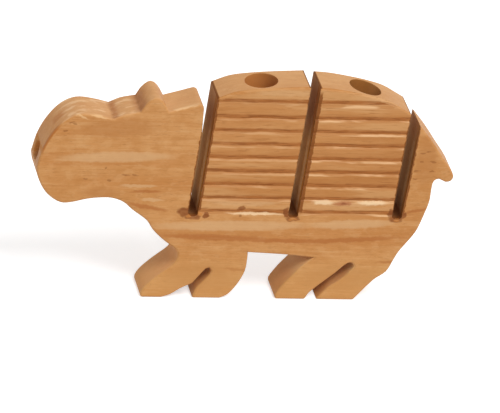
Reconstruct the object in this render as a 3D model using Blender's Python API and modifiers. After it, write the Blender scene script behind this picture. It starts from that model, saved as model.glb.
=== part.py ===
"""Hippo tone block: one thick board sawn to a standing hippo, slotted into sounding blocks.

Metres, +Z up. +X runs from the nose to the tail, the grooved side faces -Y, and the
origin is on the floor under the middle of the board. Run with
blender --background --python part.py, or from Blender's text editor.
"""
from math import asin, atan2, ceil, cos, pi, radians, sin, tan

import bmesh
import bpy
from mathutils import Matrix, Vector
from mathutils.geometry import interpolate_bezier

MM = 0.001

# The board, and the edges that sanding leaves round the outline and along the slots
BOARD_THICKNESS = 28.0 * MM
EDGE_RADIUS = 1.6 * MM
SLOT_EDGE_RADIUS = 0.5 * MM
EDGE_SEGMENTS = 3

# Lengths along the body at the feet of the slots, from the nose to the tip of the tail
HEAD_LENGTH = 104.0 * MM
FRONT_BLOCK_LENGTH = 60.7 * MM
REAR_BLOCK_LENGTH = 63.7 * MM
RUMP_LENGTH = 31.6 * MM

# Heights above the floor
MUZZLE_HEIGHT = 133.6 * MM
BROW_HEIGHT = 135.5 * MM
JAW_HEIGHT = 69.0 * MM
NECK_HEIGHT = 144.8 * MM
BACK_HEIGHT = 156.0 * MM
RUMP_HEIGHT = 134.4 * MM
TAIL_HEIGHT = 93.0 * MM
BELLY_HEIGHT = 33.0 * MM

# The ear stands on the brow, in front of the first slot
EAR_RISE = 10.7 * MM
EAR_SETBACK = 32.7 * MM

# Two feet, each split into two toes by a slanting saw cut
FOOT_LENGTH = 53.2 * MM
FRONT_FOOT_SETBACK = 78.2 * MM
REAR_FOOT_SETBACK = 57.6 * MM

# Sound slots: a saw cut that leans to the tail and ends in a drilled hole
SLOT_WIDTH = 6.6 * MM
SLOT_FOOT_HEIGHT = 64.0 * MM
SLOT_LEAN = radians(3.2)
RELIEF_DIAMETER = 7.8 * MM

# The neck and the rump stand back from their slots towards the mouth, and the back drops at slots
NECK_FLARE = 1.7 * MM
NECK_FLARE_DROP = 24.0 * MM
RUMP_FLARE = 1.1 * MM
NECK_DROP = 1.6 * MM
FRONT_BLOCK_DROP = 9.4 * MM
REAR_BLOCK_DROP = 0.5 * MM
REAR_BLOCK_RISE = 3.6 * MM
RUMP_DROP = 4.9 * MM

# Bores that let the blocks ring: one down into each block and one into the nose
TONE_BORE_DIAMETER = 22.0 * MM
FRONT_BORE_DEPTH = 70.0 * MM
REAR_BORE_DEPTH = 50.0 * MM
FRONT_BORE_OFFSET = -0.4 * MM
REAR_BORE_OFFSET = 1.1 * MM
NOSE_BORE_DIAMETER = 12.7 * MM
NOSE_BORE_DEPTH = 60.0 * MM
NOSE_BORE_HEIGHT = 100.6 * MM

# Scraper grooves across both blocks, on the near side only: a long slope in, then a short ledge out
GROOVE_COUNT = 9
GROOVE_PITCH = 9.85 * MM
LOWEST_GROOVE_HEIGHT = 63.3 * MM
GROOVE_SLOPE_HEIGHT = 3.3 * MM
GROOVE_LEDGE_HEIGHT = 0.3 * MM
GROOVE_DEPTH = 1.3 * MM

# How finely curves are drawn, and how far a cutter reaches past what it cuts
CURVE_STEP = 3.0 * MM
ROUND_STEPS = 40
OVERCUT = 6.0 * MM
SAME_PLACE = 0.01 * MM

# Stations along X, worked out from the lengths
LENGTH = HEAD_LENGTH + FRONT_BLOCK_LENGTH + REAR_BLOCK_LENGTH + RUMP_LENGTH + 3 * SLOT_WIDTH
NOSE_X = -LENGTH / 2
TAIL_X = LENGTH / 2
SLOT_1_X = NOSE_X + HEAD_LENGTH + SLOT_WIDTH / 2
SLOT_2_X = SLOT_1_X + FRONT_BLOCK_LENGTH + SLOT_WIDTH
SLOT_3_X = SLOT_2_X + REAR_BLOCK_LENGTH + SLOT_WIDTH
EAR_X = SLOT_1_X - EAR_SETBACK
FRONT_FOOT_X = NOSE_X + FRONT_FOOT_SETBACK
REAR_FOOT_X = TAIL_X - REAR_FOOT_SETBACK - FOOT_LENGTH


def clear_scene():
    """Remove every object that the file starts with."""
    for old in list(bpy.data.objects):
        bpy.data.objects.remove(old, do_unlink=True)


def new_collection(name):
    """A collection linked to the scene."""
    collection = bpy.data.collections.new(name)
    bpy.context.scene.collection.children.link(collection)
    return collection


def shifted(x, z, offsets):
    """Points from the place x, z: the offsets are in millimetres."""
    return [Vector((x + dx * MM, z + dz * MM)) for dx, dz in offsets]


def smooth(run):
    """The points of one smooth curve through a run of points, ends included."""
    last = len(run) - 1
    ways = []
    for number in range(last + 1):
        before = run[max(number - 1, 0)]
        after = run[min(number + 1, last)]
        ways.append((after - before).normalized())
    drawn = [run[0]]
    for number in range(last):
        start, end = run[number], run[number + 1]
        reach = (end - start).length / 3
        steps = ceil(3 * reach / CURVE_STEP) + 1
        stretch = interpolate_bezier(start, start + ways[number] * reach,
                                     end - ways[number + 1] * reach, end, steps)
        drawn += stretch[1:]
    return drawn


def slot_wall(foot_x, side, height, flare=0.0):
    """The point at a height on one wall of a slot: side is -1 at the front, 1 behind."""
    across = side * (SLOT_WIDTH / 2 / cos(SLOT_LEAN) + flare)
    return Vector((foot_x + across + (height - SLOT_FOOT_HEIGHT) * tan(SLOT_LEAN), height))


def relief_hole(foot_x):
    """The hole at the foot of a slot, from its front wall round to its rear wall."""
    radius = RELIEF_DIAMETER / 2
    meet = asin(SLOT_WIDTH / 2 / radius)
    steps = ROUND_STEPS // 3
    run = []
    for step in range(steps + 1):
        turn = SLOT_LEAN - meet - (2 * pi - 2 * meet) * step / steps
        run.append(Vector((foot_x + radius * sin(turn), SLOT_FOOT_HEIGHT + radius * cos(turn))))
    return run


def slot_lines():
    """Each slot from its front mouth corner down round its relief hole to its rear corner."""
    neck = [slot_wall(SLOT_1_X, -1, NECK_HEIGHT - NECK_DROP, NECK_FLARE),
            slot_wall(SLOT_1_X, -1, NECK_HEIGHT - NECK_FLARE_DROP)]
    front_block = [slot_wall(SLOT_1_X, 1, BACK_HEIGHT - FRONT_BLOCK_DROP)]
    front_block_end = [slot_wall(SLOT_2_X, -1, BACK_HEIGHT)]
    rear_block = [slot_wall(SLOT_2_X, 1, BACK_HEIGHT - REAR_BLOCK_DROP)]
    rear_block_end = [slot_wall(SLOT_3_X, -1, RUMP_HEIGHT + REAR_BLOCK_RISE)]
    rump = [slot_wall(SLOT_3_X, 1, RUMP_HEIGHT - RUMP_DROP, RUMP_FLARE)]
    return [neck + relief_hole(SLOT_1_X) + front_block,
            front_block_end + relief_hole(SLOT_2_X) + rear_block,
            rear_block_end + relief_hole(SLOT_3_X) + rump]


def head_top(neck):
    """Muzzle, brow, ear and the neck up to the first slot, with corners between them."""
    muzzle = shifted(NOSE_X, MUZZLE_HEIGHT, [
        (0.0, -39.4), (3.0, -26.1), (8.6, -14.2), (16.8, -4.4), (26.0, 0.0), (37.2, -0.8),
        (48.2, -3.4)])
    brow = shifted(EAR_X, BROW_HEIGHT, [(-19.4, -1.9), (-12.4, -0.3), (-9.0, 0.3)])
    ear = shifted(EAR_X, BROW_HEIGHT + EAR_RISE, [(-5.6, -4.2), (0.0, 0.0), (4.7, -2.7)])
    nape = shifted(EAR_X, BROW_HEIGHT, [(9.4, 0.7)]) + shifted(SLOT_1_X, NECK_HEIGHT, [(-11.7, -5.1)])
    return (smooth(muzzle) + smooth(muzzle[-1:] + brow)[1:] + smooth(brow[-1:] + ear + nape[:1])[1:]
            + smooth(nape + [neck])[1:-1])


def front_block_top(start, end):
    """The back over the front block, between the corners of slot 1 and slot 2."""
    back = shifted(SLOT_2_X, BACK_HEIGHT, [(-48.4, -4.8), (-37.4, -2.8), (-18.7, -1.1)])
    return smooth([start] + back + [end])[1:-1]


def rear_block_top(start, end):
    """The back over the rear block, between the corners of slot 2 and slot 3."""
    back = shifted(SLOT_3_X, RUMP_HEIGHT, [
        (-51.3, 20.3), (-37.8, 18.1), (-26.2, 15.7), (-14.3, 12.1), (-4.2, 6.5)])
    return smooth([start] + back + [end])[1:-1]


def rump_and_tail(start):
    """From slot 3 down the rump to the short tail and the notch under it."""
    rump = shifted(TAIL_X, TAIL_HEIGHT, [(-17.7, 25.6), (-8.4, 12.8), (-2.3, 4.5)])
    tail = shifted(TAIL_X, TAIL_HEIGHT, [(0.0, 0.0), (-1.2, -3.5), (-5.1, -4.5), (-9.6, -2.4)])
    notch = shifted(TAIL_X, TAIL_HEIGHT, [
        (-12.6, -3.8), (-13.6, -8.0), (-14.0, -18.8), (-16.6, -29.3), (-20.8, -41.9), (-30.5, -56.7)])
    heel = REAR_FOOT_X + FOOT_LENGTH
    leg = shifted(heel, 0.0, [(24.2, 30.0), (20.3, 21.5), (12.4, 15.0), (0.0, 0.0)])
    return smooth([start] + rump + tail + notch + leg)[1:]


def rear_foot():
    """The toe slit and the front of the rear foot, up to the belly."""
    heel = REAR_FOOT_X + FOOT_LENGTH
    slit = shifted(heel, 0.0, [
        (-25.6, 0.0), (-18.3, 9.0), (-13.3, 12.8), (-8.7, 16.6), (-3.9, 22.1), (-2.2, 25.2),
        (-4.4, 27.6), (-7.8, 26.4), (-13.8, 20.3), (-30.0, 5.2), (-33.0, 0.0)])
    toe = shifted(REAR_FOOT_X, 0.0, [
        (0.0, 0.0), (-0.2, 3.0), (2.4, 7.6), (5.9, 12.8), (10.7, 18.7), (15.4, 24.2)])
    groin = shifted(REAR_FOOT_X, BELLY_HEIGHT, [(22.6, -2.0)])
    return smooth(slit) + smooth(toe + groin)


def belly_and_front_foot():
    """The belly, the back of the front foot and the slit between its toes."""
    heel = FRONT_FOOT_X + FOOT_LENGTH
    belly = shifted(REAR_FOOT_X, BELLY_HEIGHT, [(22.6, -2.0), (3.5, -0.1)])
    groin = shifted(heel, BELLY_HEIGHT, [(15.8, 1.2), (16.0, -3.0)])
    toe = shifted(heel, 0.0, [(15.2, 20.0), (10.8, 10.0), (5.2, 2.6), (0.0, 0.0)])
    slit = shifted(heel, 0.0, [
        (-18.8, 0.0), (-16.6, 6.9), (-12.4, 12.2), (-8.8, 17.0), (-7.7, 20.4), (-9.2, 22.4),
        (-11.2, 21.6), (-19.4, 10.6)])
    front_toe = shifted(heel, 0.0, [(-26.6, 6.9), (-33.4, 2.2), (-39.5, 0.0)])
    return (smooth(belly + groin[:1])[1:] + smooth(groin + toe)[1:] + smooth(slit)
            + smooth(slit[-1:] + front_toe)[1:])


def chest_and_jaw():
    """From the tip of the front foot up the chest and along the jaw to the nose."""
    toe = shifted(FRONT_FOOT_X, 0.0, [
        (0.0, 0.0), (-0.3, 3.2), (2.7, 8.6), (8.8, 15.0), (13.5, 19.2), (20.4, 25.6), (22.0, 31.0)])
    chest = shifted(FRONT_FOOT_X, BELLY_HEIGHT, [
        (20.4, 2.6), (14.4, 7.0), (9.6, 10.8), (3.3, 17.0), (-1.2, 23.5)])
    jaw = shifted(NOSE_X, JAW_HEIGHT, [
        (66.3, -4.5), (60.2, 0.7), (52.4, 3.6), (45.0, 3.8), (35.7, 2.7), (24.8, 0.0), (18.3, -0.1),
        (11.2, 3.9), (5.7, 9.9), (1.1, 19.4)])
    nose = shifted(NOSE_X, MUZZLE_HEIGHT, [(0.0, -39.4)])
    return smooth(toe + chest + jaw + nose)[:-1]


def outline():
    """The whole profile with its slots, clockwise from the nose on the grooved side."""
    first, second, third = slot_lines()
    return (head_top(first[0]) + first + front_block_top(first[-1], second[0]) + second
            + rear_block_top(second[-1], third[0]) + third + rump_and_tail(third[-1])
            + rear_foot() + belly_and_front_foot() + chest_and_jaw())


def weigh_edges(shape):
    """Mark the rims of both faces for rounding, the slots' rims for less of it."""
    weight = shape.edges.layers.float.new("bevel_weight_edge")
    slotted = [place for line in slot_lines() for place in line]
    for edge in shape.edges:
        start, end = (vert.co for vert in edge.verts)
        across_the_board = start.z * end.z < 0
        if across_the_board:
            continue
        on_slot = all(min((vert.co.xy - place).length for place in slotted) < SAME_PLACE
                      for vert in edge.verts)
        edge[weight] = SLOT_EDGE_RADIUS / EDGE_RADIUS if on_slot else 1.0


def sawn_board(name, collection):
    """The board sawn along the outline, as a mesh whose two faces are whole."""
    places = outline()
    curve = bpy.data.curves.new(name + "_line", 'CURVE')
    curve.dimensions = '2D'
    curve.fill_mode = 'BOTH'
    curve.extrude = BOARD_THICKNESS / 2
    spline = curve.splines.new('POLY')
    spline.points.add(len(places) - 1)
    for point, place in zip(spline.points, places):
        point.co = (place.x, place.y, 0.0, 1.0)
    spline.use_cyclic_u = True
    drawn = bpy.data.objects.new(name + "_line", curve)
    collection.objects.link(drawn)
    drawn.matrix_world = Matrix.Rotation(radians(90), 4, 'X')
    evaluated = drawn.evaluated_get(bpy.context.evaluated_depsgraph_get())
    mesh = bpy.data.meshes.new_from_object(evaluated)
    shape = bmesh.new()
    shape.from_mesh(mesh)
    bmesh.ops.remove_doubles(shape, verts=shape.verts, dist=SAME_PLACE)
    bmesh.ops.dissolve_limit(shape, angle_limit=radians(0.2), verts=shape.verts, edges=shape.edges)
    bmesh.ops.recalc_face_normals(shape, faces=shape.faces)
    weigh_edges(shape)
    shape.to_mesh(mesh)
    shape.free()
    board = bpy.data.objects.new(name, mesh)
    collection.objects.link(board)
    board.matrix_world = drawn.matrix_world
    bpy.data.objects.remove(drawn, do_unlink=True)
    return board


def bore_cutter(name, mouth, inward, diameter, depth, collection):
    """A flat-bottomed drill hole from its mouth inwards, with a run-out in the air."""
    shape = bmesh.new()
    bmesh.ops.create_cone(shape, cap_ends=True, segments=ROUND_STEPS, radius1=diameter / 2,
                          radius2=diameter / 2, depth=depth + OVERCUT)
    mesh = bpy.data.meshes.new(name)
    shape.to_mesh(mesh)
    shape.free()
    cutter = bpy.data.objects.new(name, mesh)
    collection.objects.link(cutter)
    cutter.rotation_mode = 'QUATERNION'
    cutter.rotation_quaternion = Vector(inward).to_track_quat('Z', 'Y')
    cutter.location = Vector(mouth) + Vector(inward) * (depth - OVERCUT) / 2
    return cutter


def groove_cutter(name, height, collection):
    """A three-cornered bar along X, from the middle of slot 1 to the middle of slot 3."""
    lean = (height - SLOT_FOOT_HEIGHT) * tan(SLOT_LEAN)
    bottom = -BOARD_THICKNESS / 2 + GROOVE_DEPTH
    spread = (GROOVE_DEPTH + OVERCUT) / GROOVE_DEPTH
    shape = bmesh.new()
    corners = [shape.verts.new((SLOT_1_X + lean, bottom - out, height + rise)) for out, rise in (
        (0.0, 0.0),
        (GROOVE_DEPTH * spread, GROOVE_SLOPE_HEIGHT * spread),
        (GROOVE_DEPTH * spread, -GROOVE_LEDGE_HEIGHT * spread))]
    end = shape.faces.new(corners)
    side = bmesh.ops.extrude_face_region(shape, geom=[end])
    far_end = [item for item in side["geom"] if isinstance(item, bmesh.types.BMVert)]
    bmesh.ops.translate(shape, verts=far_end, vec=(SLOT_3_X - SLOT_1_X, 0.0, 0.0))
    bmesh.ops.recalc_face_normals(shape, faces=shape.faces)
    mesh = bpy.data.meshes.new(name)
    shape.to_mesh(mesh)
    shape.free()
    cutter = bpy.data.objects.new(name, mesh)
    collection.objects.link(cutter)
    return cutter


def cut(body, cutter):
    """Take the cutter's shape out of the body."""
    cutter.hide_render = True
    cutter.display_type = 'WIRE'
    boolean = body.modifiers.new("cut " + cutter.name, 'BOOLEAN')
    boolean.operation = 'DIFFERENCE'
    boolean.solver = 'EXACT'
    boolean.object = cutter


def back_at(places, x):
    """The height of the back at x, and its slope over the width of a tone bore."""
    reach = TONE_BORE_DIAMETER / 2
    heights = []
    for sought in (x - reach, x, x + reach):
        crossings = [
            start.y + (end.y - start.y) * (sought - start.x) / (end.x - start.x)
            for start, end in zip(places, places[1:]) if start.x <= sought < end.x]
        heights.append(max(crossings))
    return heights[1], atan2(heights[2] - heights[0], 2 * reach)


def tone_bore(name, places, x, depth, collection):
    """A bore square to the back, in the middle of the board's thickness."""
    height, slope = back_at(places, x)
    inward = (sin(slope), 0.0, -cos(slope))
    return bore_cutter(name, (x, 0.0, height), inward, TONE_BORE_DIAMETER, depth, collection)


def wood_material():
    """Pale orange-brown hardwood, oiled and dull."""
    material = bpy.data.materials.new("oiled_wood")
    material.use_nodes = True
    shader = material.node_tree.nodes["Principled BSDF"]
    colour = (0.58, 0.30, 0.12, 1.0)
    shader.inputs["Base Color"].default_value = colour
    shader.inputs["Roughness"].default_value = 0.55
    shader.inputs["Metallic"].default_value = 0.0
    material.diffuse_color = colour
    return material


def build():
    """Saw the board with its slots, round its rims, then groove and bore it."""
    clear_scene()
    toy = new_collection("animal_tone_block")
    tools = new_collection("cutters")
    body = sawn_board("hippo_body", toy)
    body.data.materials.append(wood_material())

    rounding = body.modifiers.new("sanded edges", 'BEVEL')
    rounding.width = EDGE_RADIUS
    rounding.segments = EDGE_SEGMENTS
    rounding.limit_method = 'WEIGHT'
    rounding.use_clamp_overlap = False

    for number in range(GROOVE_COUNT):
        height = LOWEST_GROOVE_HEIGHT + number * GROOVE_PITCH
        cut(body, groove_cutter(f"groove_{number + 1}", height, tools))

    places = outline()
    lean_at_back = (BACK_HEIGHT - SLOT_FOOT_HEIGHT) * tan(SLOT_LEAN)
    front_x = (SLOT_1_X + SLOT_2_X) / 2 + lean_at_back + FRONT_BORE_OFFSET
    rear_x = (SLOT_2_X + SLOT_3_X) / 2 + lean_at_back + REAR_BORE_OFFSET
    cut(body, tone_bore("front_tone_bore", places, front_x, FRONT_BORE_DEPTH, tools))
    cut(body, tone_bore("rear_tone_bore", places, rear_x, REAR_BORE_DEPTH, tools))
    cut(body, bore_cutter("nose_bore", (NOSE_X, 0.0, NOSE_BORE_HEIGHT), (1.0, 0.0, 0.0),
                          NOSE_BORE_DIAMETER, NOSE_BORE_DEPTH, tools))


build()
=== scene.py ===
from functools import reduce
from math import atan2, copysign, cos, pi, radians, sin, tan

import bmesh
import bpy
from mathutils import Matrix, Vector
from mathutils.noise import noise


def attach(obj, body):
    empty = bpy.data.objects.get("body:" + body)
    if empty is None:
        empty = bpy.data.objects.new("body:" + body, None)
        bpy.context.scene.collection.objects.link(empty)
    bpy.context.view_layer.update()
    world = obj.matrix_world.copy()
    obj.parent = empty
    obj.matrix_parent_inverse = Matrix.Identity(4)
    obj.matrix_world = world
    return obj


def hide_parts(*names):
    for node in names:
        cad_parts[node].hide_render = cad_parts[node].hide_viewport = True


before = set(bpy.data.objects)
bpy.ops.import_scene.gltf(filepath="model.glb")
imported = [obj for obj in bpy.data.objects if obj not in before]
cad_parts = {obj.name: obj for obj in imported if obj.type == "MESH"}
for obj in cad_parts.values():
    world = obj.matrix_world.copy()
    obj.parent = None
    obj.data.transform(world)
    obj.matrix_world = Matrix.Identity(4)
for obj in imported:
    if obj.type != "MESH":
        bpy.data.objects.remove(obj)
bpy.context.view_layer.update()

# The hippo: one thick board of pale orange-brown hardwood, standing on its own two soles. It is
# sawn to its outline with three sound slots, sanded round its rims, scraped with ribs across both
# blocks, bored from the back and the nose, and oiled.
MM = 0.001
THICKNESS = 28.0 * MM
PLAIN_LAYER = 12.0 * MM
SAME_PLACE = 0.002 * MM
ON_PLANE = SAME_PLACE / 10
NEXT_POINT = 0.1 * MM
STRAIGHT = radians(0.3)

SLOT_FEET = (-32.6 * MM, 34.7 * MM, 105.0 * MM)
SLOT_FOOT_HEIGHT = 64.0 * MM
SLOT_LEAN = radians(3.2)
SLOT_REACH = 5.3 * MM
RELIEF_REACH = 4.3 * MM
SPLINTERED = 3.4 * MM


def from_slot(point, foot):
    """How far a point lies behind the middle line of the slot whose foot is at x = foot."""
    return point.x - foot - (point.z - SLOT_FOOT_HEIGHT) * tan(SLOT_LEAN)


# The sawn outline is the board's own section, taken where no rim, groove or bore reaches it
board = bmesh.new()
board.from_mesh(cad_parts["hippo_body"].data)
bmesh.ops.remove_doubles(board, verts=board.verts, dist=SAME_PLACE)
bmesh.ops.bisect_plane(board, geom=board.verts[:] + board.edges[:] + board.faces[:], dist=ON_PLANE,
                       plane_co=(0.0, PLAIN_LAYER, 0.0), plane_no=(0.0, 1.0, 0.0),
                       clear_inner=True, clear_outer=True)
bmesh.ops.dissolve_limit(board, angle_limit=STRAIGHT, verts=board.verts, edges=board.edges)
bmesh.ops.remove_doubles(board, verts=board.verts, dist=NEXT_POINT)
for vert in board.verts:
    # Splinters hang at the sides of the relief holes, so these look no wider than their slots
    foot = min(SLOT_FEET, key=lambda x: abs(from_slot(vert.co, x)))
    out = from_slot(vert.co, foot)
    if SPLINTERED < abs(out) < RELIEF_REACH and abs(vert.co.z - SLOT_FOOT_HEIGHT) < RELIEF_REACH:
        vert.co.x -= out - copysign(SPLINTERED, out)
bmesh.ops.edgeloop_fill(board, edges=board.edges[:])

# The neck's corner at the first slot is sanded to a broad round
SHARP_CORNER = radians(35)
MOUTHS_ABOVE = 120.0 * MM
NECK_RADIUS = 4.4 * MM
NECK_STEPS = 5


def at_mouth(corner):
    """Whether a point of the outline is a sharp corner at the top of a slot."""
    before, after = (edge.other_vert(corner).co - corner.co for edge in corner.link_edges)
    near_slot = min(abs(from_slot(corner.co, foot)) for foot in SLOT_FEET) < SLOT_REACH
    return near_slot and corner.co.z > MOUTHS_ABOVE and before.angle(after) < pi - SHARP_CORNER


corners = sorted((vert for vert in board.verts if at_mouth(vert)), key=lambda vert: vert.co.x)
neck_end = corners[0].co.copy()
bmesh.ops.bevel(board, geom=corners[:1], offset=NECK_RADIUS, offset_type='OFFSET',
                segments=NECK_STEPS, profile=0.5, affect='VERTICES', material=-1,
                clamp_overlap=True)
mouths = [vert.co.x for vert in board.verts if at_mouth(vert)]
outline = [(edge.verts[0].co.copy(), edge.verts[1].co.copy()) for edge in board.edges]

# The outline goes through the whole thickness, then every rim is rounded by its own radius
RIM_RADIUS = 1.6 * MM
RIM_STEPS = 5
SLOT_RIM = 0.5 * MM / RIM_RADIUS
SLOT_MOUTH = 0.8 * MM / RIM_RADIUS
TOE = 1.2 * MM / RIM_RADIUS
FULL_RIM = 1.0
AROUND_NECK_END = 1.3 * NECK_RADIUS

bmesh.ops.translate(board, verts=board.verts, vec=(0.0, THICKNESS / 2 - PLAIN_LAYER, 0.0))
pushed = bmesh.ops.extrude_face_region(board, geom=board.faces[:])
bmesh.ops.translate(board, vec=(0.0, -THICKNESS, 0.0),
                    verts=[item for item in pushed["geom"] if isinstance(item, bmesh.types.BMVert)])
bmesh.ops.recalc_face_normals(board, faces=board.faces)
rounded = board.edges.layers.float.new("bevel_weight_edge")
for edge in board.edges:
    start, end = (vert.co for vert in edge.verts)
    runs_across = start.y * end.y < 0
    if runs_across and start.x in mouths:
        edge[rounded] = SLOT_MOUTH
    elif runs_across and start.z < SAME_PLACE:
        edge[rounded] = TOE
    elif not runs_across:
        in_slot = any(max(abs(from_slot(start, foot)), abs(from_slot(end, foot))) < SLOT_REACH
                      and min(start.z, end.z) > SLOT_FOOT_HEIGHT - SLOT_REACH
                      for foot in SLOT_FEET)
        edge[rounded] = SLOT_RIM if in_slot else FULL_RIM
        if max((vert.co.xz - neck_end.xz).length for vert in edge.verts) < AROUND_NECK_END:
            lie = abs(end.x - start.x) / (end - start).length
            edge[rounded] = lie * FULL_RIM + (1 - lie) * SLOT_RIM
board_mesh = bpy.data.meshes.new("hippo")
board.to_mesh(board_mesh)
board.free()
hippo = bpy.data.objects.new("hippo", board_mesh)
bpy.context.scene.collection.objects.link(hippo)


def settle(piece):
    """Make a piece's mesh what its modifiers have shaped, and take the modifiers off."""
    shaped = piece.evaluated_get(bpy.context.evaluated_depsgraph_get())
    mesh = bpy.data.meshes.new_from_object(shaped)
    piece.modifiers.clear()
    piece.data = mesh


rounding = hippo.modifiers.new("sanded rims", 'BEVEL')
rounding.width = RIM_RADIUS
rounding.segments = RIM_STEPS
rounding.limit_method = 'WEIGHT'
rounding.use_clamp_overlap = False
settle(hippo)

# The ribs: nine saw-tooth grooves, a long slope in and a short ledge out, scraped by hand
GROOVE_COUNT = 9
TOP_GROOVE = GROOVE_COUNT - 1
GROOVE_PITCH = 9.85 * MM
LOWEST_GROOVE = 63.3 * MM
TOP_GROOVE_LIFT = 1.6 * MM
GROOVE_DEPTH = 1.3 * MM
END_GROOVE_SHARE = 0.7
LEDGE = 0.35 * MM
SLOPE = 3.3 * MM
# Across one groove: a height over its bottom, the share of painted shade there, and the share of
# the ledge's painted tone and highlight
GROOVE_ROWS = ((-LEDGE, 0.0, 1.0), (0.0, 0.35, 0.5), (0.7 * MM, 0.50, 0.0), (1.5 * MM, 0.80, 0.0),
               (2.4 * MM, 1.0, 0.0), (SLOPE, 0.45, 0.0), (4.6 * MM, 0.0, 0.0),
               (6.4 * MM, 0.0, 0.0), (8.2 * MM, 0.0, 0.15))
RIBS_FROM = 62.0 * MM
FIRST_COLUMN = SLOT_FEET[0] + 3.9 * MM
LAST_COLUMN = SLOT_FEET[2] - 3.6 * MM
COLUMN_WIDTH = 1.1 * MM
ON_SCRAPED_SIDE = -0.15
UPWARDS = (0.0, 0.0, 1.0)


def bottom(number):
    """The height of a groove's bottom, counted from 0 for the lowest."""
    lift = TOP_GROOVE_LIFT if number == TOP_GROOVE else 0.0
    return LOWEST_GROOVE + number * GROOVE_PITCH + lift


def sliced(mesh, faces, point, way):
    """Cut some faces along a plane, and return them with the new ones."""
    parts = dict.fromkeys(part for face in faces for part in (face, *face.verts, *face.edges))
    cut = bmesh.ops.bisect_plane(mesh, geom=list(parts), dist=ON_PLANE,
                                 plane_co=point, plane_no=way)
    return [item for item in cut["geom"] if isinstance(item, bmesh.types.BMFace)]


field = bmesh.new()
field.from_mesh(hippo.data)
ribbed = []
scraped_side = [face for face in field.faces if face.normal.y < ON_SCRAPED_SIDE]
for face in sliced(field, scraped_side, (0.0, 0.0, RIBS_FROM), UPWARDS):
    middle = face.calc_center_median()
    if (middle.z > RIBS_FROM
            and from_slot(middle, SLOT_FEET[0]) > 0 > from_slot(middle, SLOT_FEET[2])):
        ribbed.append(face)
across_slots = Vector((cos(SLOT_LEAN), 0.0, -sin(SLOT_LEAN)))
column = FIRST_COLUMN
while column < LAST_COLUMN:
    ribbed = sliced(field, ribbed, (column, 0.0, SLOT_FOOT_HEIGHT), across_slots)
    column += COLUMN_WIDTH
# Painted shade on the grooves' slopes and painted highlight on their ledges, kept on the vertices
painted_groove_shade = field.verts.layers.float.new("painted_groove_shade")
ledge_highlight = field.verts.layers.float.new("ledge_highlight")
done = set()
for number in range(GROOVE_COUNT):
    for over_bottom, shade_share, highlight_share in GROOVE_ROWS:
        level = bottom(number) + over_bottom
        ribbed = sliced(field, ribbed, (0.0, 0.0, level), UPWARDS)
        below = [face for face in ribbed if face.calc_center_median().z < level]
        done.update(vert for face in below for vert in face.verts)
        ribbed = [face for face in ribbed if face.calc_center_median().z >= level]
        for vert in {vert for face in ribbed for vert in face.verts}:
            if abs(vert.co.z - level) < SAME_PLACE:
                vert[painted_groove_shade] = shade_share
                vert[ledge_highlight] = highlight_share
done.update(vert for face in ribbed for vert in face.verts)

# The scraper was pushed by hand, so the grooves waver and are not equally deep all along
USUAL_SHARE, SHARE_CHANGE, MOST_SHARE = 0.85, 0.45, 1.05
SHARE_SWELL = 26.0 * MM
UNEVEN = 0.14 * MM
WAVER = 0.45 * MM
WAVER_LAYER = 1.5 * MM
FADE_IN = 2.0 * MM
STRAIGHT_FROM = LOWEST_GROOVE + 7.9 * GROOVE_PITCH
LEDGE_FOOT = -1.01 * LEDGE
SCRAPED_FACE = -THICKNESS / 2
# Swells of the surface: their length, their height, and a number that keeps the patterns apart
SCRATCHES = (17.0 * MM, 3.1 * MM, 3.3)
WAVES = (16.0 * MM, 11.0 * MM, 8.1)
SHIVERS = (3.5 * MM, 9.0 * MM, 2.7)


def swell(x, z, kind):
    """A smooth number from about -1 to 1, which changes over one kind of swell."""
    length, tall, apart = kind
    return noise(Vector((x / length, apart, z / tall)))


def scraped(x, z):
    """How deep the scraper has gone at a place on the ribs."""
    number = min(round((z - LOWEST_GROOVE - SLOPE / 2) / GROOVE_PITCH), TOP_GROOVE)
    above = z - bottom(number)
    uneven = UNEVEN * (1 + swell(x, z, SCRATCHES))
    if number < 0 or not LEDGE_FOOT < above < SLOPE:
        return uneven * 0.5
    share = USUAL_SHARE + SHARE_CHANGE * noise(Vector((x / SHARE_SWELL, number * 3.7, 0.5)))
    if number in (0, TOP_GROOVE):
        share *= END_GROOVE_SHARE
    reach = 1 - above / SLOPE if above >= 0 else 1 + above / LEDGE
    depth = GROOVE_DEPTH * share * reach + uneven * (1 - reach) * 0.5
    return min(depth, GROOVE_DEPTH * MOST_SHARE)


for vert in done:
    vert.co.y = max(vert.co.y, SCRAPED_FACE + scraped(vert.co.x, vert.co.z))
    fade = min(max((vert.co.z - RIBS_FROM) / FADE_IN, 0.0), 1.0)
    if vert.co.y < SCRAPED_FACE + WAVER_LAYER and vert.co.z < STRAIGHT_FROM:
        lift = WAVER * fade * (swell(vert.co.x, vert.co.z, WAVES)
                               + 0.5 * swell(vert.co.x, vert.co.z, SHIVERS))
        vert.co.z += lift
        vert.co.x += lift * tan(SLOT_LEAN)
field.to_mesh(hippo.data)
field.free()

# The bores: one into the nose, and one down into each block, square to the back; mouths eased
TONE_BORE_RADIUS = 11.0 * MM
TONE_BORES = ((5.79 * MM, 70.0 * MM), (76.09 * MM, 50.0 * MM))
NOSE_BORE_RADIUS = 6.35 * MM
NOSE_BORE_DEPTH = 60.0 * MM
NOSE_TIP = Vector((-139.9 * MM, 0.0, 100.6 * MM))
BORE_STEPS = 96
# The eased mouth: how far out of the wall, and how far above the back
EASE = ((0.0, -0.55 * MM), (0.08 * MM, -0.3 * MM), (0.22 * MM, -0.12 * MM), (0.5 * MM, 0.04 * MM),
        (2.6 * MM, 2.0 * MM))
EASED_DEPTH = 0.6 * MM
ON_WALL = SAME_PLACE * 20
CREASE_ANGLE = radians(36)


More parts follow.
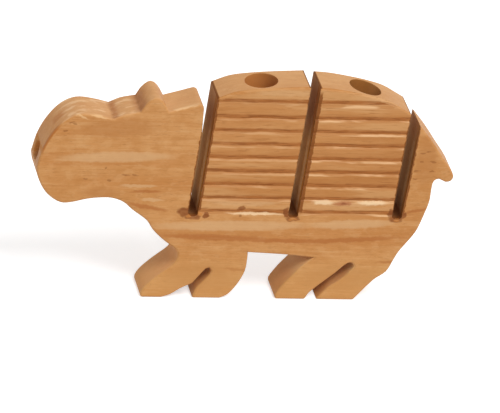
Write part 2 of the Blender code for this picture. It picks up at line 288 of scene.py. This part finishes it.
def bore_cutter(name, mouth, inward, radius, depth):
    """The drilled space: a flat bottom, a straight wall and a softly opened mouth."""
    drill = bmesh.new()
    line = [drill.verts.new((0.0, 0.0, -depth)), drill.verts.new((radius, 0.0, -depth))]
    for out_of_wall, rise in EASE:
        line.append(drill.verts.new((radius + out_of_wall, 0.0, rise)))
    line.append(drill.verts.new((0.0, 0.0, EASE[-1][1])))
    edges = [drill.edges.new(pair) for pair in zip(line, line[1:])]
    bmesh.ops.spin(drill, geom=line + edges, cent=(0.0, 0.0, 0.0), axis=(0.0, 0.0, 1.0),
                   angle=2 * pi, steps=BORE_STEPS, use_merge=True)
    bmesh.ops.remove_doubles(drill, verts=drill.verts, dist=SAME_PLACE)
    bmesh.ops.recalc_face_normals(drill, faces=drill.faces)
    turn = Vector(inward).to_track_quat('-Z', 'Y').to_matrix().to_4x4()
    bmesh.ops.transform(drill, matrix=Matrix.Translation(mouth) @ turn, verts=drill.verts)
    mesh = bpy.data.meshes.new(name)
    drill.to_mesh(mesh)
    drill.free()
    cutter = bpy.data.objects.new(name, mesh)
    bpy.context.scene.collection.objects.link(cutter)
    return cutter


def back_height(x):
    """The height of the back over a place along the body."""
    return max(start.z + (end.z - start.z) * (x - start.x) / (end.x - start.x)
               for start, end in outline if min(start.x, end.x) <= x < max(start.x, end.x))


def away(point, mouth, inward, radius, depth):
    """How far a point is outside the drilled space, 0 or less on its walls and its bottom."""
    down = (point - mouth).dot(inward)
    sideways = (point - mouth - inward * down).length
    return max(sideways - radius, down - depth, EASED_DEPTH - down)


drills = [(NOSE_TIP, Vector((1.0, 0.0, 0.0)), NOSE_BORE_RADIUS, NOSE_BORE_DEPTH)]
for x, depth in TONE_BORES:
    fall = back_height(x + TONE_BORE_RADIUS) - back_height(x - TONE_BORE_RADIUS)
    slope = atan2(fall, 2 * TONE_BORE_RADIUS)
    drills.append((Vector((x, 0.0, back_height(x))), Vector((sin(slope), 0.0, -cos(slope))),
                   TONE_BORE_RADIUS, depth))
cutters = [bore_cutter(f"bore_{number}", *drill) for number, drill in enumerate(drills)]
for cutter in cutters:
    boolean = hippo.modifiers.new(cutter.name, 'BOOLEAN')
    boolean.operation = 'DIFFERENCE'
    boolean.solver = 'EXACT'
    boolean.object = cutter
settle(hippo)
for cutter in cutters:
    bpy.data.objects.remove(cutter, do_unlink=True)

# The cuts leave one sliver open on a rim, which is closed before the bores' faces are marked
hippo_mesh = hippo.data
hippo_mesh.materials.clear()
closing = bmesh.new()
closing.from_mesh(hippo_mesh)
open_edges = [edge for edge in closing.edges if edge.is_boundary]
bmesh.ops.holes_fill(closing, edges=open_edges, sides=4)
closing.to_mesh(hippo_mesh)
closing.free()
bored = hippo_mesh.attributes.new("bored", 'FLOAT', 'FACE')
for face in hippo_mesh.polygons:
    inside = any(away(face.center, *drill) < ON_WALL for drill in drills)
    bored.data[face.index].value = 1.0 if inside else 0.0
hippo_mesh.shade_smooth()
hippo_mesh.set_sharp_from_angle(angle=CREASE_ANGLE)
flats = hippo.modifiers.new("flat faces stay flat", 'WEIGHTED_NORMAL')
flats.keep_sharp = True
flats.weight = 80


class Tone:
    """A number, place or colour that changes over a surface, written as Python arithmetic."""

    def __init__(self, tree, socket=None):
        self.tree = tree
        self.socket = socket

    def node(self, kind, settings, inputs, output=0):
        """One node: its settings first, then the values or links of its sockets."""
        made = self.tree.nodes.new(kind)
        for name, value in settings.items():
            setattr(made, name, value)
        for name, value in inputs.items():
            if isinstance(value, Tone):
                self.tree.links.new(value.socket, made.inputs[name])
            else:
                made.inputs[name].default_value = value
        return Tone(self.tree, made.outputs[output])

    def output(self, name):
        """Another output of the same node."""
        return Tone(self.tree, self.socket.node.outputs[name])

    def feed(self, shader, name):
        """Let a shader's socket follow this."""
        self.tree.links.new(self.socket, shader.inputs[name])

    def maths(self, operation, *values):
        return self.node('ShaderNodeMath', {"operation": operation}, dict(enumerate(values)))

    def __add__(self, other):
        return self.maths('ADD', self, other)

    def __sub__(self, other):
        return self.maths('SUBTRACT', self, other)

    def __rsub__(self, other):
        return self.maths('SUBTRACT', other, self)

    def __mul__(self, other):
        return self.maths('MULTIPLY', self, other)

    def __abs__(self):
        return self.maths('ABSOLUTE', self)

    def most(self, other):
        return self.maths('MAXIMUM', self, other)

    __radd__ = __add__
    __rmul__ = __mul__

    def rise(self, low, high):
        """0 below low, 1 above high, and a soft slope between them."""
        return self.node('ShaderNodeMapRange', {"interpolation_type": 'SMOOTHSTEP'},
                         {"Value": self, "From Min": low, "From Max": high})

    def fall(self, low, high):
        """1 below low, 0 above high, and a soft slope between them."""
        return self.node('ShaderNodeMapRange', {"interpolation_type": 'SMOOTHSTEP'}, {
            "Value": self, "From Min": low, "From Max": high, "To Min": 1.0, "To Max": 0.0})

    def blend(self, under, over):
        """From one colour to another as this number goes from 0 to 1."""
        return self.node('ShaderNodeMix', {"data_type": 'RGBA'}, {0: self, 6: under, 7: over}, 2)


def any_of(masks):
    """1 where at least one of some masks is 1."""
    return reduce(Tone.most, masks)


def wood_tone(red, green, blue):
    """A colour as it is seen, 0 to 255, in the shader's own scale."""
    return tuple(((value / 255 + 0.055) / 1.055) ** 2.4 for value in (red, green, blue)) + (1.0,)


wood = bpy.data.materials.new("oiled_hardwood")
wood.use_nodes = True
finish = wood.node_tree.nodes["Principled BSDF"]
paper = Tone(wood.node_tree)

# Drawn on that blank paper first: places in millimetres, and the way a face is turned
in_metres = paper.node('ShaderNodeTexCoord', {}, {}, "Object")
place = paper.node('ShaderNodeVectorMath', {"operation": 'SCALE'}, {0: in_metres, "Scale": 1 / MM})
along = paper.node('ShaderNodeSeparateXYZ', {}, {0: place}, "X")
across = along.output("Y")
height = along.output("Z")
turned_along = paper.node('ShaderNodeSeparateXYZ', {}, {0: in_metres.output("Normal")}, "X")
turned_across = turned_along.output("Y")
turned_up = turned_along.output("Z")


def fibre(stretch, detail, roughness, shift=(0.0, 0.0, 0.0)):
    """Noise whose spots have the size 1/stretch, in millimetres, along each axis."""
    moved = paper.node('ShaderNodeMapping', {}, {
        "Vector": place, "Location": shift, "Scale": stretch})
    return paper.node('ShaderNodeTexNoise', {}, {
        "Vector": moved, "Scale": 1.0, "Detail": detail, "Roughness": roughness})


# The plank's own figure: growth bands, fine streaks, pores and cloudy places, long along X
bands = fibre((0.005, 0.05, 0.075), 2.0, 0.5, (0.0, 3.1, 7.4))
streaks = fibre((0.020, 0.40, 0.60), 4.0, 0.65)
threads = fibre((0.050, 1.1, 1.5), 3.0, 0.6, (6.0, 1.0, 0.0))
pores = fibre((0.20, 1.9, 2.4), 2.0, 0.5, (4.0, 0.0, 2.0))
clouds = fibre((0.035, 0.035, 0.05), 2.0, 0.5, (9.0, 2.0, 5.0))
ripple = fibre((0.12, 0.2, 0.3), 3.0, 0.6, (1.0, 7.0, 3.0))
mottle = fibre((0.10, 0.3, 0.16), 3.0, 0.65, (5.0, 4.0, 8.0))
BROWN_BAND, PALE_BAND = wood_tone(198, 135, 76), wood_tone(207, 149, 91)
CLOUD = wood_tone(194, 131, 70)
BROWN_STREAK, PALE_STREAK = wood_tone(176, 113, 56), wood_tone(224, 177, 124)
BROWN_THREAD, PALE_THREAD = wood_tone(166, 104, 50), wood_tone(226, 180, 128)
PORE = wood_tone(142, 86, 42)
RIPPLE = wood_tone(186, 124, 66)
BROWN_MOTTLE, PALE_MOTTLE = wood_tone(190, 128, 68), wood_tone(218, 168, 114)

tint = bands.rise(0.35, 0.65).blend(BROWN_BAND, PALE_BAND)
tint = (clouds.rise(0.45, 0.72) * 0.40).blend(tint, CLOUD)
tint = (streaks.rise(0.52, 0.70) * 0.26).blend(tint, BROWN_STREAK)
tint = (streaks.fall(0.30, 0.47) * 0.32).blend(tint, PALE_STREAK)
tint = (threads.rise(0.54, 0.70) * 0.17).blend(tint, BROWN_THREAD)
tint = (threads.fall(0.32, 0.46) * 0.17).blend(tint, PALE_THREAD)
tint = (pores.rise(0.62, 0.74) * 0.45).blend(tint, PORE)
tint = (ripple.rise(0.48, 0.68) * 0.30).blend(tint, RIPPLE)
tint = (mottle.rise(0.52, 0.66) * 0.36).blend(tint, BROWN_MOTTLE)
tint = (mottle.fall(0.36, 0.48) * 0.25).blend(tint, PALE_MOTTLE)

# The marks on the scraped side are long soft ovals, a little frayed: most are the plank's own, and
# the glints are painted highlights on the rims of the muzzle and the neck.
# Each is its place in x and z, its half length, its half height and its rise in degrees.
PALE_BANDS = ((-6.0, 54.0, 62.0, 4.6, 1.0), (75.0, 56.5, 34.0, 4.0, 3.0),
              (0.0, 71.8, 29.0, 3.6, 0.0), (72.0, 72.2, 29.0, 3.4, 0.5),
              (-88.0, 103.0, 46.0, 4.6, 2.0), (22.0, 151.5, 24.0, 2.6, 0.0),
              (-44.0, 140.2, 11.0, 1.4, 17.0), (-71.0, 82.4, 15.0, 1.6, 0.0),
              (-61.0, 72.2, 9.0, 1.4, 0.0))
RED_LINES = ((-14.0, 45.2, 48.0, 2.6, -1.5), (74.0, 44.9, 46.0, 2.4, 4.0),
             (32.0, 43.6, 34.0, 2.2, 0.0), (-64.0, 67.0, 18.0, 2.0, -11.0),
             (117.0, 67.2, 11.0, 1.6, 10.0), (3.2, 21.4, 14.0, 1.4, -6.0),
             (104.0, 29.0, 12.0, 1.2, 3.0), (-66.0, 78.2, 13.0, 1.4, 2.0))
WARM_PATCHES = ((-88.0, 124.0, 34.0, 8.5, 3.0), (-81.0, 61.0, 10.0, 6.0, -20.0),
                (-96.0, 77.0, 16.0, 5.0, 0.0), (120.0, 104.0, 9.0, 22.0, 0.0),
                (-24.0, 16.0, 34.0, 13.0, 0.0), (70.0, 16.0, 34.0, 12.0, 0.0))
# The glints: painted highlights along the rims
PAINTED_HIGHLIGHTS = ((-108.0, 135.6, 12.0, 1.1, -16.0), (-114.0, 132.0, 7.0, 0.9, -20.0),
          (-46.0, 139.4, 9.0, 1.0, 16.0), (-101.0, 131.6, 8.0, 0.9, -14.0))
FLECKS = ((10.2, 118.3, 3.0, 1.0, 0.0), (-1.6, 110.0, 2.2, 0.8, 0.0), (18.5, 109.7, 2.0, 0.8, 0.0),
          (-19.1, 130.1, 2.0, 0.8, 0.0), (-1.1, 61.5, 2.0, 1.1, 0.0), (-23.8, 67.0, 2.2, 1.0, 0.0),
          (-5.9, 81.3, 2.4, 0.8, 0.0), (21.0, 81.0, 4.0, 0.8, 0.0), (58.1, 133.9, 3.0, 1.0, 0.0),
          (78.1, 124.0, 2.2, 0.8, 0.0), (90.7, 85.2, 2.8, 0.9, 0.0), (76.3, 81.3, 3.2, 0.9, 0.0),
          (74.6, 90.1, 2.2, 0.8, 0.0), (120.4, 110.9, 3.2, 1.0, 4.0),
          (116.8, 109.8, 1.8, 0.9, 0.0), (117.4, 103.4, 2.0, 0.9, 0.0),
          (124.5, 103.6, 2.0, 0.8, 0.0), (114.2, 96.7, 2.4, 1.0, 0.0),
          (124.4, 96.9, 2.0, 0.8, 0.0), (113.8, 91.1, 1.8, 0.8, 0.0),
          (-119.8, 127.5, 3.0, 1.0, 8.0), (-117.0, 126.4, 1.8, 0.9, 0.0),
          (-123.7, 121.5, 2.2, 1.0, 0.0), (-93.5, 94.8, 1.6, 0.8, 0.0),
          (-91.1, 86.3, 2.2, 1.0, 0.0), (-80.9, 90.1, 4.2, 0.9, 2.0),
          (-74.3, 90.3, 2.6, 0.8, 0.0), (-106.0, 86.6, 1.8, 0.8, 0.0))
WARM = wood_tone(184, 122, 66)
PALE_WOOD = wood_tone(219, 176, 128)
RED_BROWN = wood_tone(178, 110, 56)
HIGHLIGHT_TONE = wood_tone(238, 196, 142)
FLECK = wood_tone(148, 90, 44)

near_side = across.fall(-12.2, -11.0)
drift = paper.node('ShaderNodeTexNoise', {}, {
    "Vector": place, "Scale": 0.22, "Detail": 3.0}, "Color")
drift = paper.node('ShaderNodeVectorMath', {"operation": 'SUBTRACT'}, {
    0: drift, 1: (0.5, 0.5, 0.5)})
# The place with a 1 as its y, so that one dot product turns, centres and scales it
flat = paper.node('ShaderNodeVectorMath', {"operation": 'MULTIPLY_ADD'}, {
    0: place, 1: (1.0, 0.0, 1.0), 2: (0.0, 1.0, 0.0)})
frayed = paper.node('ShaderNodeVectorMath', {"operation": 'MULTIPLY_ADD'}, {
    0: drift, 1: (7.0, 0.0, 3.0), 2: flat})


def distance(row):
    """How far a place is from an oval's middle along one way of it, as a share of its half size."""
    return paper.node('ShaderNodeVectorMath', {"operation": 'DOT_PRODUCT'}, {
        0: frayed, 1: row}, "Value")


def marks(ovals, core=0.35):
    """1 in the middle of each oval, 0 outside them all."""
    found = []
    for x, z, reach, tall, lift in ovals:
        run, climb = cos(radians(lift)), sin(radians(lift))
        down_it = distance((run / reach, -(x * run + z * climb) / reach, climb / reach))
        over_it = distance((-climb / tall, (x * climb - z * run) / tall, run / tall))
        found.append((down_it * down_it + over_it * over_it).fall(core * core, 1.0))
    return any_of(found) * near_side


tint = (marks(WARM_PATCHES) * 0.55).blend(tint, WARM)
tint = (marks(PALE_BANDS, 0.5) * 0.56).blend(tint, PALE_WOOD)
tint = (marks(RED_LINES) * 0.80).blend(tint, RED_BROWN)
# Painted highlights along the rims of the muzzle and the neck
tint = (marks(PAINTED_HIGHLIGHTS, 0.1) * 0.60).blend(tint, HIGHLIGHT_TONE)
tint = (marks(FLECKS, 0.2) * 0.62).blend(tint, FLECK)

# On the blocks: painted shade down the slopes of the grooves, painted highlights on the ledges
# under them, warmer ribs
WARM_RIB = wood_tone(196, 135, 79)
LOWER_RIB = wood_tone(182, 120, 62)
REAR_RIB = wood_tone(226, 178, 128)
BROWN_RIB, PALE_RIB = wood_tone(176, 112, 56), wood_tone(212, 160, 106)
DASH = wood_tone(156, 96, 46)
GROOVE_SHADE, DEEP_GROOVE_SHADE = wood_tone(178, 110, 54), wood_tone(138, 80, 36)
LEDGE_SHADE, LEDGE_HIGHLIGHT_TONE = wood_tone(192, 132, 78), wood_tone(238, 192, 142)

behind = along - (height - SLOT_FOOT_HEIGHT / MM) * tan(SLOT_LEAN)
on_ribs = behind.rise(-29.6, -29.2) * behind.fall(101.5, 101.9) * height.rise(62.0, 62.8)
sunk = across + THICKNESS / 2 / MM
ribs = on_ribs * sunk.fall(1.5, 1.8)
tint = (ribs * height.rise(66.0, 80.0) * height.fall(144.0, 147.5) * 0.62).blend(tint, WARM_RIB)
tint = (ribs * height.rise(72.0, 78.0) * height.fall(88.0, 106.0) * 0.40).blend(tint, LOWER_RIB)
tint = (ribs * height.rise(138.0, 147.0) * behind.rise(58.0, 76.0) * 0.50).blend(tint, REAR_RIB)
rib_tone = fibre((0.012, 0.05, 0.11), 2.0, 0.6, (2.0, 5.0, 1.3))
tint = (ribs * rib_tone.rise(0.50, 0.64) * 0.55).blend(tint, PALE_RIB)
tint = (ribs * rib_tone.fall(0.36, 0.48) * 0.40).blend(tint, BROWN_RIB)
dashes = fibre((0.07, 1.0, 1.3), 2.0, 0.6, (3.0, 9.0, 4.0))
tint = (ribs * dashes.rise(0.56, 0.68) * 0.45).blend(tint, DASH)
patchy = ripple.rise(0.34, 0.60)
runs = fibre((0.028, 0.3, 0.16), 3.0, 0.6, (8.0, 2.0, 6.0))
# Painted shade down each groove's slope, with darker dashes where it is deepest
groove_shading = paper.node('ShaderNodeAttribute', {"attribute_name": "painted_groove_shade"}, {}, 2)
groove_shading = groove_shading * turned_up.fall(0.2, 0.5)
groove_shading = groove_shading + (streaks - 0.5) * 0.9 * groove_shading
tint = (groove_shading.rise(0.10, 0.80) * (patchy * 0.30 + 0.68)).blend(tint, GROOVE_SHADE)
tint = (groove_shading.rise(0.20, 0.70) * dashes.rise(0.48, 0.60) * 0.65).blend(tint, DEEP_GROOVE_SHADE)
# Painted highlight on the ledges under the grooves, patchy, and stronger towards the rear
ledge_light = paper.node('ShaderNodeAttribute', {"attribute_name": "ledge_highlight"}, {}, 2)
tint = (ledge_light.rise(0.25, 0.85) * 0.80).blend(tint, LEDGE_SHADE)
highlight_more = behind.rise(20.0, 50.0) * 0.45 + 0.35
tint = (ledge_light.rise(0.15, 0.75) * runs.rise(0.47, 0.62) * highlight_more).blend(tint, LEDGE_HIGHLIGHT_TONE)

# The knot in the lowest rib, with pale wood on both sides of it
KNOT = ((67.2, 71.7, 7.0, 2.4, 4.0),)
KNOT_EYE = ((67.6, 71.6, 3.0, 1.3, 0.0),)
BESIDE_KNOT = ((54.0, 72.3, 9.5, 2.0, 0.0), (87.0, 72.4, 12.0, 2.0, 0.0),
               (8.0, 63.2, 22.0, 1.2, 0.0))
tint = (marks(BESIDE_KNOT) * 0.85).blend(tint, wood_tone(242, 208, 164))
tint = (marks(KNOT) * 0.9).blend(tint, wood_tone(178, 112, 70))
tint = (marks(KNOT_EYE, 0.2) * 0.7).blend(tint, wood_tone(140, 80, 48))

# Saw-cut end grain in the slots: dark near the scraped side, a paler stripe, then grey-brown.
# Painted shade darkens the walls at the mouths, low in the slots and on the relief holes' floors,
# and the last slot is darker.
WALL_FRONT, WALL_STRIPE = wood_tone(206, 140, 62), wood_tone(242, 208, 156)
WALL_BACK = wood_tone(224, 180, 122)
WALL_RIPPLE = wood_tone(180, 126, 78)
MOUTH_SHADE_FRONT, MOUTH_SHADE_BACK = wood_tone(178, 114, 58), wood_tone(190, 140, 96)
LAST_SLOT = wood_tone(140, 92, 50)
LOW_WALL_SHADE = wood_tone(128, 76, 36)
RELIEF_FLOOR_SHADE = wood_tone(120, 68, 30)

in_slots = any_of([abs(behind - foot / MM).fall(4.0, 4.7) for foot in SLOT_FEET])
sawn = in_slots * height.rise(58.8, 59.4) * abs(turned_across).fall(0.35, 0.7) * sunk.rise(0.3, 0.8)
wall = across.rise(-9.6, -8.0).blend(WALL_FRONT, WALL_STRIPE)
wall = across.rise(-4.5, -1.5).blend(wall, WALL_BACK)
wall = (ripple.rise(0.45, 0.7) * 0.30).blend(wall, WALL_RIPPLE)
# Painted shade near the mouths
wall = height.rise(108.0, 136.0).blend(wall, across.rise(-8.0, -4.0).blend(MOUTH_SHADE_FRONT, MOUTH_SHADE_BACK))
wall = (behind.rise(95.0, 98.0) * 0.45).blend(wall, LAST_SLOT)
# Painted shade low in the slots and on the relief holes' floors
wall = (height.fall(62.0, 80.0) * 0.55).blend(wall, LOW_WALL_SHADE)
wall = (turned_up.rise(-0.1, 0.5) * 0.85).blend(wall, RELIEF_FLOOR_SHADE)
tint = (sawn * 0.95).blend(tint, wall)

# Painted shade along the rims of each slot on the scraped side: how many millimetres in front of
# the slot, and how many behind it, with an edge that wanders
SHADED_RIMS = ((0.6, 0.9), (0.0, 2.0), (0.3, 1.1))
SLOT_HALF = 3.2
SOFT = 0.6

ragged = (ripple - 0.5) * 2.4
rim_shades = []
for foot, (in_front, beyond) in zip(SLOT_FEET, SHADED_RIMS):
    off = behind - foot / MM + ragged
    rim_shades.append(off.rise(SLOT_HALF - SOFT, SLOT_HALF)
                     * off.fall(SLOT_HALF + beyond, SLOT_HALF + SOFT + beyond))
    rim_shades.append(off.fall(-SLOT_HALF, SOFT - SLOT_HALF)
                     * off.rise(-SLOT_HALF - SOFT - in_front, -SLOT_HALF - in_front))
# Painted shade along the slots' rims
rim_shade = any_of(rim_shades) * near_side * height.rise(63.0, 66.0) * height.fall(150.0, 154.0)
tint = (rim_shade * 0.95).blend(tint, wood_tone(136, 78, 30))

# Splintered feet of the slots, where the drill for the relief hole tore the surface, and one knot
TORN = ((-38.8, 63.6, 5.4, 4.2, 10.0), (-32.5, 60.4, 6.0, 2.6, 0.0), (-23.9, 61.4, 2.6, 2.4, 0.0),
        (34.6, 60.2, 5.6, 2.6, 0.0), (30.0, 64.5, 2.2, 4.4, 0.0), (104.4, 60.6, 5.8, 2.8, 0.0),
        (100.2, 65.0, 2.2, 4.4, 0.0), (108.9, 63.0, 2.2, 3.4, 0.0))
SMALL_KNOT = ((-0.4, 66.8, 2.6, 2.0, 0.0),)
FRESH = ((-34.6, 60.8, 2.6, 1.7, 4.0), (-28.0, 62.6, 1.6, 1.8, 0.0), (34.8, 59.6, 3.6, 1.2, 0.0),
         (105.2, 59.8, 3.2, 1.2, 0.0))
tint = (marks(SMALL_KNOT + TORN, 0.60) * (patchy * 0.20 + 0.75)).blend(tint, wood_tone(138, 78, 36))
tint = (marks(FRESH, 0.20) * 0.75).blend(tint, wood_tone(200, 130, 64))

# Bored wood is darker and browner than the sanded back, most in the rear bore
hollow = paper.node('ShaderNodeAttribute', {"attribute_name": "bored"}, {}, 2)
bored_wood = along.rise(30.0, 50.0).blend(wood_tone(202, 132, 69), wood_tone(173, 112, 51))
tint = (hollow * 0.85).blend(tint, bored_wood)

# The faces turned to the nose are warmer and the legs paler; painted light makes the faces turned
# up paler, and palest in streaks on the crown
ends = turned_along.fall(-0.85, -0.35) * (1 - sawn)
rear_leg = along.rise(8.0, 18.0) * height.rise(14.0, 26.0) * height.fall(46.0, 54.0)
feet = height.fall(14.0, 40.0) * near_side
top = turned_up.rise(0.5, 0.9) * (1 - ribs) * (1 - sawn)
crown_light_streaks = fibre((0.07, 0.22, 0.07), 3.0, 0.6, (7.0, 3.5, 1.0)).rise(0.50, 0.62)
tint = (ends * 0.40).blend(tint, wood_tone(212, 150, 90))
tint = (ends * height.fall(38.0, 56.0) * 0.55).blend(tint, wood_tone(222, 160, 94))
tint = (ends * rear_leg * 0.60).blend(tint, wood_tone(238, 202, 142))
tint = (feet * 0.36).blend(tint, wood_tone(220, 170, 106))
# Painted light on the faces turned up, brightest in streaks on the crown
tint = (top * 0.30).blend(tint, wood_tone(232, 184, 134))
tint = (top * along.fall(-84.0, -70.0) * crown_light_streaks * 0.50).blend(tint, wood_tone(244, 204, 158))

# Painted shade darkens the rounded rim of the nose on the scraped side, beside a darker orange band
# higher across the nose's end, and darkens the creases before and behind the brow. Each crease is
# its place in x and how far it spreads.
CREASES = ((-90.6, 4.0), (-74.6, 5.5))
nose_shade_and_patch = sunk.fall(2.2, 3.6) * height.rise(103.0, 108.0) * height.fall(121.0, 127.0)
nose_shade_and_patch = nose_shade_and_patch.most(sunk.rise(7.0, 10.0) * sunk.fall(13.0, 18.0)
                   * height.rise(120.0, 123.0) * height.fall(127.0, 131.0) * 0.7)
nose_shade_and_patch = nose_shade_and_patch * turned_along.fall(-0.55, -0.15) * along.fall(-124.0, -118.0) * (1 - hollow)
# Painted shade on the nose's rim, with the darker orange band above it
tint = (nose_shade_and_patch * 0.75).blend(tint, wood_tone(180, 106, 44))
crease_shade = any_of([abs(along - x).fall(0.0, spread) for x, spread in CREASES])
crease_shade = crease_shade * height.rise(124.0, 127.0) * across.rise(-13.9, -11.0)
crease_shade = crease_shade * (ripple.rise(0.3, 0.6) * 0.4 + 0.6)
# Painted shade in the creases
tint = (crease_shade * 0.66).blend(tint, wood_tone(158, 92, 44))

# A low oiled sheen, duller where the wood is sawn or bored, over a fine open grain
tint.feed(finish, "Base Color")
relief = paper.node('ShaderNodeBump', {}, {
    "Strength": 0.35, "Distance": 0.3 * MM, "Height": streaks * 0.5 + threads * 0.3 + ripple * 0.4})
relief.feed(finish, "Normal")
rough = sawn.most(hollow) * 0.35 + 0.55
rough.feed(finish, "Roughness")
finish.inputs["Specular IOR Level"].default_value = 0.15
hippo_mesh.materials.append(wood)
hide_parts("hippo_body")
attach(hippo, "root")

# The table top under it: a sheet of matt white, large enough to have no edge in view. It keeps
# only the soft shadow of the feet, and a little light of its own lifts it to white for the lens.
SHEET_HALF = 6.0
SHEET_WHITE = (0.84, 0.84, 0.84, 1.0)
SHEET_LIFT = (0.53, 0.53, 0.53, 1.0)
NO_LIFT = (0.0, 0.0, 0.0, 1.0)

sheet = bmesh.new()
bmesh.ops.create_grid(sheet, x_segments=1, y_segments=1, size=SHEET_HALF)
sheet_mesh = bpy.data.meshes.new("table_top")
sheet.to_mesh(sheet_mesh)
sheet.free()
table_top = bpy.data.objects.new("table_top", sheet_mesh)
bpy.context.scene.collection.objects.link(table_top)
table_paint = bpy.data.materials.new("white_sweep")
table_paint.use_nodes = True
paint = table_paint.node_tree.nodes["Principled BSDF"]
paint.inputs["Base Color"].default_value = SHEET_WHITE
paint.inputs["Roughness"].default_value = 0.9
paint.inputs["Specular IOR Level"].default_value = 0.0
paint.inputs["Emission Strength"].default_value = 1.0


def seen(tree):
    """1 for what the lens, a gloss or a glass looks at, 0 for what lights other things."""
    ray = tree.node('ShaderNodeLightPath', {}, {}, "Is Camera Ray")
    return any_of([ray, ray.output("Is Glossy Ray"), ray.output("Is Transmission Ray")])


seen(Tone(table_paint.node_tree)).blend(NO_LIFT, SHEET_LIFT).feed(paint, "Emission Color")
sheet_mesh.materials.append(table_paint)

# The light: a pale room all round, seen as white behind everything, and one broad soft lamp high
# in front and to the right, which gives the shaded slots and the short shadow on the table.
ROOM_LEVEL = 0.48
LAMP_STRENGTH = 1.88
LAMP_SPREAD = radians(28)
LAMP_FROM = Vector((0.28, -0.52, 0.81))

world = bpy.data.worlds.new("pale_room")
bpy.context.scene.world = world
world.use_nodes = True
background = world.node_tree.nodes["Background"]
background.inputs["Color"].default_value = (1.0, 1.0, 1.0, 1.0)
room = seen(Tone(world.node_tree)) * (1 - ROOM_LEVEL) + ROOM_LEVEL
room.feed(background, "Strength")

broad = bpy.data.lights.new("broad_lamp", 'SUN')
broad.energy = LAMP_STRENGTH
broad.angle = LAMP_SPREAD
lamp = bpy.data.objects.new("broad_lamp", broad)
lamp.location = LAMP_FROM
lamp.rotation_mode = 'QUATERNION'
lamp.rotation_quaternion = LAMP_FROM.to_track_quat('Z', 'Y')
bpy.context.scene.collection.objects.link(lamp)
bpy.context.scene.view_settings.view_transform = 'Standard'

# The camera: a long lens on a stand, a little to the nose's side and above, held slightly turned.
# It looks so that the point AIM falls on one pixel of a picture of 500 by 413.
TURN, RISE, ROLL = radians(13.0), radians(26.0), radians(6.7)
DISTANCE = 4.0
FRAME_WIDTH, FRAME_HEIGHT = 500, 413
PIXELS_PER_METRE = 1515.0
AIM = Vector((0.0033, 0.0, 0.075))
AIM_ACROSS, AIM_DOWN = 245.0, 188.2
SENSOR_WIDTH = 36.0
FARTHEST = 20.0

level_right = Vector((cos(TURN), -sin(TURN), 0.0))
level_up = Vector((sin(TURN) * sin(RISE), cos(TURN) * sin(RISE), cos(RISE)))
toward = Vector((-sin(TURN) * cos(RISE), -cos(TURN) * cos(RISE), sin(RISE)))
right = cos(ROLL) * level_right + sin(ROLL) * level_up
up = cos(ROLL) * level_up - sin(ROLL) * level_right
centre = (AIM + right * (FRAME_WIDTH / 2 - AIM_ACROSS) / PIXELS_PER_METRE
          - up * (FRAME_HEIGHT / 2 - AIM_DOWN) / PIXELS_PER_METRE)
lens = bpy.data.cameras.new("long_lens")
lens.sensor_width = SENSOR_WIDTH
lens.lens = PIXELS_PER_METRE * DISTANCE / FRAME_WIDTH * SENSOR_WIDTH
lens.clip_end = FARTHEST
camera = bpy.data.objects.new("long_lens", lens)
camera.matrix_world = (Matrix.Translation(centre + toward * DISTANCE)
                       @ Matrix((right, up, toward)).transposed().to_4x4())
bpy.context.scene.collection.objects.link(camera)
bpy.context.scene.camera = camera
